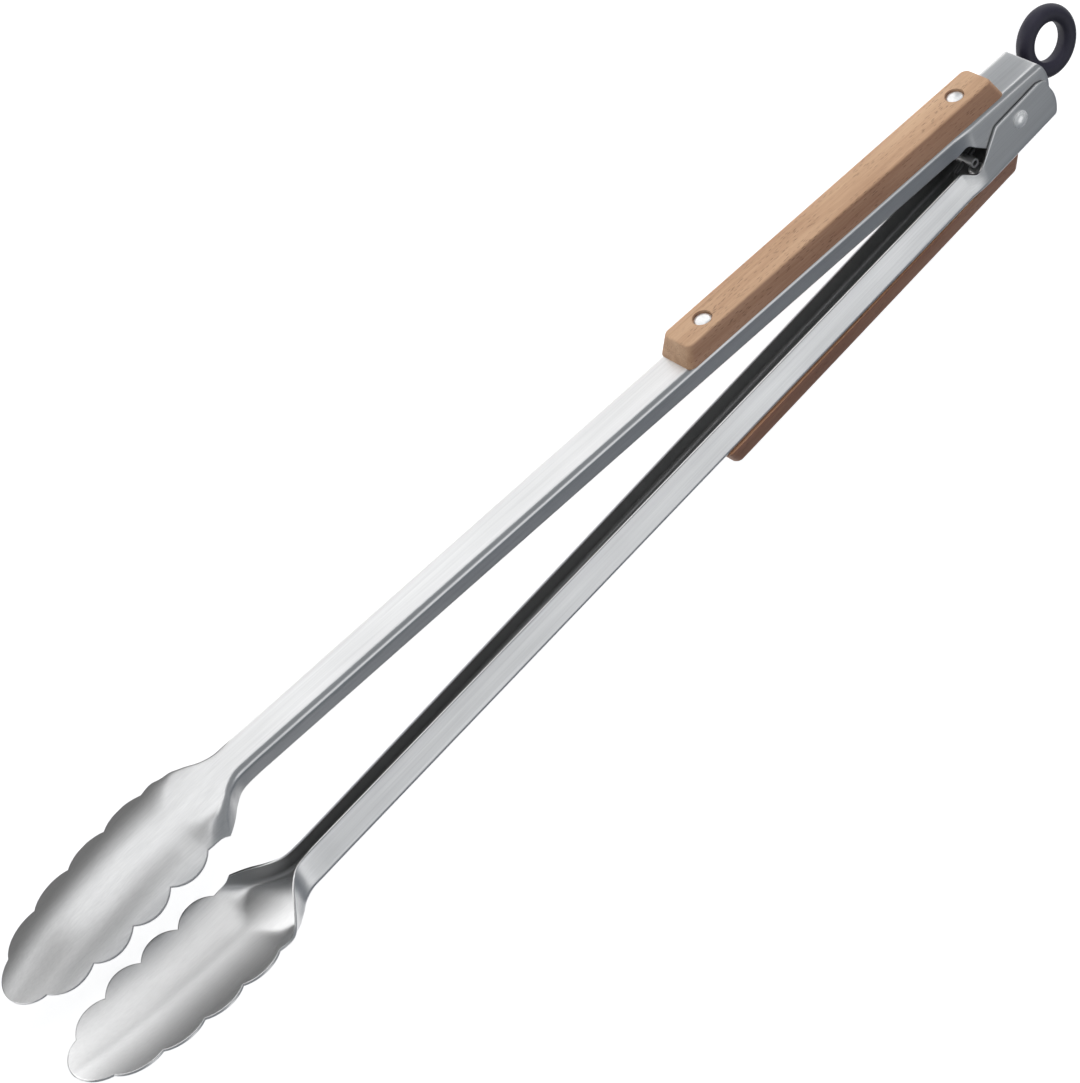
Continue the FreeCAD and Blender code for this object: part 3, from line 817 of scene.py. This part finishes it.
def cut_away(piece, cutters):
    """Apply boolean cuts and remove the cutters."""
    for cutter in cutters:
        modifier = piece.modifiers.new("cut", "BOOLEAN")
        modifier.operation = "DIFFERENCE"
        modifier.solver = "EXACT"
        modifier.object = cutter
    bpy.context.view_layer.update()
    graph = bpy.context.evaluated_depsgraph_get()
    mesh = bpy.data.meshes.new_from_object(piece.evaluated_get(graph))
    piece.modifiers.clear()
    piece.data = mesh
    for cutter in cutters:
        bpy.data.objects.remove(cutter)


def make_grip(prefix, side, material):
    """A hardwood slat with rounded edges and two sunk rivet holes."""
    grip = bmesh.new()
    frustum(grip)
    upright = [edge for edge in grip.edges
               if abs(edge.verts[0].co.y - edge.verts[1].co.y) > 1 * MM]
    bmesh.ops.bevel(grip, geom=upright, offset=UPRIGHT_ROUND * MM, segments=6, profile=0.5,
                    affect="EDGES")
    top = [edge for edge in grip.edges
           if all(v.co.y > (WEB + GRIP_DEPTH - 0.1) * MM for v in edge.verts)]
    bmesh.ops.bevel(grip, geom=top, offset=TOP_ROUND * MM, segments=3, profile=0.5,
                    affect="EDGES")
    mesh = bpy.data.meshes.new(prefix + "_slat")
    grip.to_mesh(mesh)
    grip.free()
    mesh.materials.append(material)
    matrix = arm_matrix(side)
    piece = bpy.data.objects.new(prefix + "_slat", mesh)
    link(piece)
    piece.matrix_world = matrix
    cutters = [sink_cutter(prefix + place, x, matrix) for place, x in RIVET_PLACES.items()]
    cut_away(piece, cutters)
    return dress(piece, matrix, prefix + "_arm", [prefix + "_arm_grip"])


def make_grip_rivet(prefix, side, place, x):
    """A rivet: domed head in the wood, shank, and a pressed tail inside the channel."""
    seat = WEB + GRIP_DEPTH - 1.1
    bottom = WEB - GAUGE - 0.9
    head = [(0, seat + 0.9), (0.9, seat + 0.86), (1.8, seat + 0.7), (2.45, seat + 0.46),
            (2.8, seat + 0.22), (2.9, seat + 0.05), (2.84, seat), (1.6, seat)]
    tail = [(1.6, WEB - GAUGE), (2.5, WEB - GAUGE), (2.6, WEB - GAUGE - 0.12),
            (2.55, bottom + 0.3), (2.2, bottom + 0.05), (1.0, bottom), (0, bottom + 0.12)]
    points, faces = lathe(head + tail, RIVET_STEPS)
    turned = [(x + p[0], p[2], p[1]) for p in points]
    return new_piece(f"{prefix}_grip_rivet_{place}_pin", turned, faces, arm_matrix(side),
                     RIVET_STEEL, prefix + "_arm",
                     [f"{prefix}_grip_rivet_{place}"])


# ------------------------------------------------------------------ hinge

PIN_RADIUS = 2.0
PIN_STEPS = 48
BUSH_LOW, BUSH_HIGH = -5.0, 6.6
BUSH_BORE, BUSH_RADIUS, BUSH_BREAK = 2.06, 3.3, 0.2
COIL_RADIUS = 4.4
COIL_HALF = 3.7
COIL_TURNS = 5
COIL_STEPS = 180
WIRE = 0.7
WIRE_END = 0.7
LEG_REACH = 27.0
LEG_GAP = 0.25
LEG_LIFT = 0.02
LEG_STEPS = 20


def make_pivot():
    """The hinge pin with a domed head outside each outer ear."""
    seat = HINGE_HALF["outer"]
    dome = [(0, 1.4), (0.9, 1.34), (1.7, 1.14), (2.3, 0.85), (2.75, 0.5), (2.97, 0.18), (3.0, 0.0)]
    upper = [(r, seat + h) for r, h in dome]
    lower = [(r, -seat - h) for r, h in reversed(dome)]
    points, faces = lathe(upper + [(PIN_RADIUS, seat), (PIN_RADIUS, -seat)] + lower, PIN_STEPS)
    return new_piece("pivot_pin", points, faces, Matrix.Translation(HINGE), PIVOT_STEEL,
                     "hinge", ["pivot_rivet"])


def make_bush():
    """A tube round the hinge pin."""
    low, high, cut = BUSH_LOW, BUSH_HIGH, BUSH_BREAK
    profile = [(BUSH_BORE, low + cut), (BUSH_BORE + cut, low), (BUSH_RADIUS - cut, low),
               (BUSH_RADIUS, low + cut), (BUSH_RADIUS, high - cut), (BUSH_RADIUS - cut, high),
               (BUSH_BORE + cut, high), (BUSH_BORE, high - cut)]
    points, faces = lathe(profile, PIN_STEPS, closed=True)
    return new_piece("bush_tube", points, faces, Matrix.Translation(HINGE), RIVET_STEEL,
                     "hinge", ["pivot_bush"])


def tube(path, radius, steps=12):
    """Points and faces of a wire along a path, a little thinner at its two ends."""
    path = [Vector(p) for p in path]
    tangents = [(b - a).normalized() for a, b in
                zip([path[0]] + path[:-1], path[1:] + [path[-1]])]
    normal = tangents[0].orthogonal().normalized()
    points, rings = [], []
    widths = [1.0] * len(path)
    widths[0], widths[-1] = WIRE_END, WIRE_END
    for centre, tangent, width in zip(path, tangents, widths):
        normal = (normal - tangent * normal.dot(tangent)).normalized()
        other = tangent.cross(normal)
        rings.append(list(range(len(points), len(points) + steps)))
        for k in range(steps):
            angle = 2 * math.pi * k / steps
            arm = (normal * math.cos(angle) + other * math.sin(angle)) * radius * width
            points.append(tuple(centre + arm))
    faces = [tuple(rings[0][::-1]), tuple(rings[-1])]
    for one, two in zip(rings, rings[1:]):
        faces += strip_faces(steps, one, two)
    return points, faces


def spring_paths():
    """The coil and its two straight legs."""
    leg_end = WEB - GAUGE + LEG_REACH * math.tan(OPEN_ANGLE) - WIRE - LEG_GAP
    tilt = math.asin((leg_end - COIL_RADIUS) / math.hypot(LEG_REACH, leg_end)) + LEG_LIFT
    turns = COIL_TURNS + tilt / math.pi
    coil = []
    for k in range(COIL_STEPS + 1):
        share = k / COIL_STEPS
        angle = -math.pi / 2 - tilt + 2 * math.pi * turns * share
        coil.append((COIL_RADIUS * math.cos(angle), COIL_RADIUS * math.sin(angle),
                     -COIL_HALF + 2 * COIL_HALF * share))
    legs = {}
    for prefix, side in ARM_SIDES.items():
        start = coil[0] if prefix == "inner" else coil[-1]
        direction = Vector((math.cos(tilt), side * math.sin(tilt), 0))
        foot = Vector((start[0], start[1], side * COIL_HALF))
        length = LEG_REACH - foot.x
        legs[prefix] = [foot + direction * length * k / LEG_STEPS for k in range(LEG_STEPS + 1)]
    return coil, legs


def make_spring():
    """The coil on the hinge pin, and its two straight legs."""
    coil, legs = spring_paths()
    points, faces = tube(coil, WIRE)
    new_piece("spring_coil", points, faces, Matrix.Translation(HINGE), SPRING_STEEL, "hinge",
              ["return_spring"])
    for prefix, path in legs.items():
        points, faces = tube(path, WIRE)
        leg = new_piece(f"spring_leg_{prefix}", points, faces, Matrix.Translation(HINGE),
                        SPRING_STEEL, None, [])
        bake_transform(leg)


# ------------------------------------------------------------------ latch and ring

STRIP_LOW, STRIP_HIGH, STRIP_BREAK = -6.0, -5.0, 0.15
STRIP_START, STRIP_HALF = -17.0, 3.2
SLOT_LENGTH, SLOT_HALF = 3.3, 2.3
STRIP_STEPS = 64
CROSS_PIN_X = 20.6
CROSS_PIN_HALF, CROSS_PIN_RADIUS, CROSS_PIN_BORE = 7.4, 1.6, 0.9
BORE_BREAK, RIM_BREAK = 0.2, 0.25
RING_RADIUS, RING_WIRE, RING_BORE = 9.1, 2.94, 6.5
RING_PLACE = (-29.6, 0, -5.8)
RING_ROLL = math.radians(7.8)


def stadium_loop(start, end, radius, count):
    """Points of a bar with round ends."""
    loop = []
    for k in range(count):
        angle = -math.pi / 2 + 2 * math.pi * k / count
        centre = end if k < count / 2 else start
        loop.append((centre + radius * math.cos(angle), radius * math.sin(angle)))
    return loop


def make_strip():
    """The sliding strip: a flat bar with a slot for the hinge pin."""
    low, high, edge = STRIP_LOW, STRIP_HIGH, STRIP_BREAK
    outer = [stadium_loop(STRIP_START, CROSS_PIN_X, STRIP_HALF - inset, STRIP_STEPS)
             for inset in (edge, 0)]
    inner = [stadium_loop(0.0, SLOT_LENGTH, SLOT_HALF + inset, STRIP_STEPS)
             for inset in (edge, 0)]
    levels = [(outer[0], low), (outer[1], low + edge), (outer[1], high - edge), (outer[0], high),
              (inner[0], high), (inner[1], high - edge), (inner[1], low + edge), (inner[0], low)]
    points, rings = [], []
    for loop, height in levels:
        rings.append(list(range(len(points), len(points) + len(loop))))
        points += [(x, y, height) for x, y in loop]
    faces = []
    for one, two in zip(rings, rings[1:] + rings[:1]):
        faces += strip_faces(STRIP_STEPS, one, two)
    return new_piece("latch_bar", points, faces, latch_matrix(), LATCH_STEEL, "latch",
                     ["latch_strip"])


def make_cross_pin():
    """The hollow cross pin of the latch."""
    half, radius, bore = CROSS_PIN_HALF, CROSS_PIN_RADIUS, CROSS_PIN_BORE
    upper = [(bore, half - BORE_BREAK), (bore + BORE_BREAK, half), (radius - RIM_BREAK, half),
             (radius, half - RIM_BREAK)]
    lower = [(r, -height) for r, height in reversed(upper)]
    points, faces = lathe(upper + lower, RIVET_STEPS, closed=True)
    moved = [(x + CROSS_PIN_X, y, z) for x, y, z in points]
    return new_piece("latch_cross_pin", moved, faces, latch_matrix(), PIN_STEEL_PAINTED_SHADE, "latch",
                     ["latch_pin"])


def make_ring():
    """The rubber pull ring: a round section with a flat land in its hole."""
    start = math.degrees(math.acos((RING_BORE - RING_RADIUS + 0.12) / RING_WIRE))
    profile = arc((RING_RADIUS, 0), RING_WIRE, -start, start, 30)
    land = profile[-1][1] - 0.3
    profile += [(RING_BORE, land), (RING_BORE, -land)]
    points, faces = lathe(profile, 96, closed=True)
    place = Matrix.Translation(Vector(RING_PLACE) * MM)
    roll = Matrix.Rotation(RING_ROLL, 4, "X")
    return new_piece("pull_ring_rubber", points, faces, latch_matrix() @ place @ roll, RUBBER,
                     "latch", ["pull_ring"])


# ------------------------------------------------------------------ studio

def plane(name, centre, across, up, material):
    """A flat stage panel from its middle and two half sides."""
    centre, across, up = Vector(centre), Vector(across), Vector(up)
    corners = [centre - across - up, centre + across - up, centre + across + up,
               centre - across + up]
    mesh = bpy.data.meshes.new(name)
    mesh.from_pydata(corners, [], [(0, 1, 2, 3)])
    mesh.materials.append(material)
    panel = bpy.data.objects.new(name, mesh)
    link(panel)
    return panel


def fading(name, strength, solid, clear):
    """A flat light that fades out along Y, from a solid place to a clear one."""
    material, nodes = new_material(name)
    place = nodes.add("ShaderNodeTexCoord").outputs["Object"]
    along = nodes.add("ShaderNodeSeparateXYZ", {"Vector": place}).outputs[1]
    share = nodes.add("ShaderNodeMapRange", {
        "Value": along, "From Min": solid, "From Max": clear},
        interpolation_type="SMOOTHSTEP").outputs[0]
    light = nodes.add("ShaderNodeEmission", {"Color": grey(1.0), "Strength": strength}).outputs[0]
    open_air = nodes.add("ShaderNodeBsdfTransparent").outputs[0]
    both = nodes.add("ShaderNodeMixShader", {0: share, 1: light, 2: open_air})
    nodes.add("ShaderNodeOutputMaterial", {"Surface": both.outputs[0]})
    return material


def card(name, centre, across, up, material):
    """A panel that only shows in reflections."""
    panel = plane(name, centre, across, up, material)
    panel.visible_camera = False
    panel.visible_diffuse = False
    panel.visible_shadow = False
    return panel


def floor_card(name, x, y, height, half_x, half_y, material):
    """A card that lies just above the floor."""
    card(name, (x, y, height), (half_x, 0, 0), (0, half_y, 0), material)


STAGE_HALF = 6
WHITE = (1.0, 1.0, 1.0)
# heights of the floor cards in metres, apart so that none share a plane where they cross
CARD_LOW, CARD_MIDDLE, CARD_HIGH = 0.0003, 0.0004, 0.0005


def make_floor():
    """A plain pale floor, and a pale backdrop that only the camera sees."""
    material, nodes = new_material("pale_floor")
    finish_material(nodes, material, {
        "Base Color": grey(0.62), "Roughness": 0.9, "Specular IOR Level": 0.0,
        "Emission Color": grey(1.0), "Emission Strength": 0.80})
    plane("floor", (0, 0, 0), (STAGE_HALF, 0, 0), (0, STAGE_HALF, 0), material)
    pale = glowing("pale_backdrop", WHITE, 0.95)
    for count in range(4):
        turn = Matrix.Rotation(math.radians(90 * count), 3, "Z")
        wall = plane(f"backdrop_{count}", turn @ Vector((0, STAGE_HALF, 3)),
                     turn @ Vector((STAGE_HALF, 0, 0)), (0, 0, 3), pale)
        wall.visible_diffuse = False
        wall.visible_glossy = False
        wall.visible_shadow = False


def area_light(name, place, aim, size, power, glossy=True):
    """A square soft light aimed at a point."""
    data = bpy.data.lights.new(name, "AREA")
    data.shape = "SQUARE"
    data.size = size
    data.energy = power
    light = bpy.data.objects.new(name, data)
    light.location = place
    direction = Vector(aim) - Vector(place)
    light.rotation_euler = direction.to_track_quat("-Z", "Y").to_euler()
    light.visible_glossy = glossy
    link(light)


def make_world():
    """Even pale surroundings."""
    world = bpy.data.worlds.new("studio")
    world.use_nodes = True
    nodes = Nodes(world.node_tree)
    background = nodes.add("ShaderNodeBackground", {
        "Color": (0.90, 0.95, 1.0, 1), "Strength": 0.30})
    nodes.add("ShaderNodeOutputWorld", {"Surface": background.outputs[0]})
    bpy.context.scene.world = world


def make_lights():
    """Soft light from the front and from above, and cards that shape the reflections."""
    area_light("key", (-0.5, -1.7, 0.62), (0, 0, 0), 1.2, 20, glossy=False)
    area_light("overhead", (-0.43, 0.43, 1.6), (0, 0, 0), 1.1, 3.0)
    # under_inner and under_outer are dim cards in place of the floor's shade beneath each head,
    # seen only in reflections: painted shade
    floor_card("under_inner", 0.19, -0.033, CARD_LOW, 0.06, 0.013,
               fading("under_inner", 0.20, -0.026, -0.044))
    floor_card("under_outer", 0.19, 0.021, CARD_MIDDLE, 0.06, 0.022,
               fading("under_outer", 0.04, 0.012, -0.003))
    floor_card("between", 0.19, -0.006, CARD_LOW, 0.06, 0.007,
               glowing("between", WHITE, 2.0))
    floor_card("front_grey", 0.215, -0.16, CARD_LOW, 0.065, 0.10,
               fading("front_grey", 0.30, -0.12, -0.055))
    floor_card("tip_grey", 0.223, -0.058, CARD_HIGH, 0.02, 0.016,
               glowing("tip_grey", WHITE, 0.5))
    floor_card("stub_grey", -0.203, -0.046, CARD_LOW, 0.017, 0.024,
               glowing("stub_grey", (0.9, 0.95, 1.0), 0.40))
    card("dark_back", (0, 0.6, 0.28), (1.2, 0, 0), (0, 0, 0.275),
         glowing("dark_back", (0.8, 0.88, 1.0), 0.19))


CAMERA_PLACE = (0.275211, -0.658881, 0.618737)
CAMERA_RIGHT = (-0.6918485, 0.3240379, 0.6452481)
CAMERA_UP = (-0.6681711, -0.6260270, -0.4020417)
CAMERA_BACK = (0.2736660, -0.7092881, 0.6496286)
CAMERA_LENS = 104.67


def make_camera():
    """A long lens over the hinge end, looking down at the side of the tongs."""
    data = bpy.data.cameras.new("camera")
    data.lens = CAMERA_LENS
    data.sensor_width = 36
    data.clip_start = 0.05
    data.clip_end = 50
    camera = bpy.data.objects.new("camera", data)
    turn = Matrix((CAMERA_RIGHT, CAMERA_UP, CAMERA_BACK)).transposed()
    camera.matrix_world = Matrix.Translation(CAMERA_PLACE) @ turn.to_4x4()
    link(camera)
    bpy.context.scene.camera = camera


# ------------------------------------------------------------------ assembly

for prefix, side in ARM_SIDES.items():
    make_arm(prefix, side)
    make_grip(prefix, side, UPPER_BEECH if prefix == "inner" else LOWER_BEECH_PAINTED_SHADE)
    for place, x in RIVET_PLACES.items():
        make_grip_rivet(prefix, side, place, x)
make_pivot()
make_bush()
make_spring()
make_strip()
make_cross_pin()
make_ring()
make_floor()
make_world()
make_lights()
make_camera()
bpy.context.scene.view_settings.view_transform = "Standard"
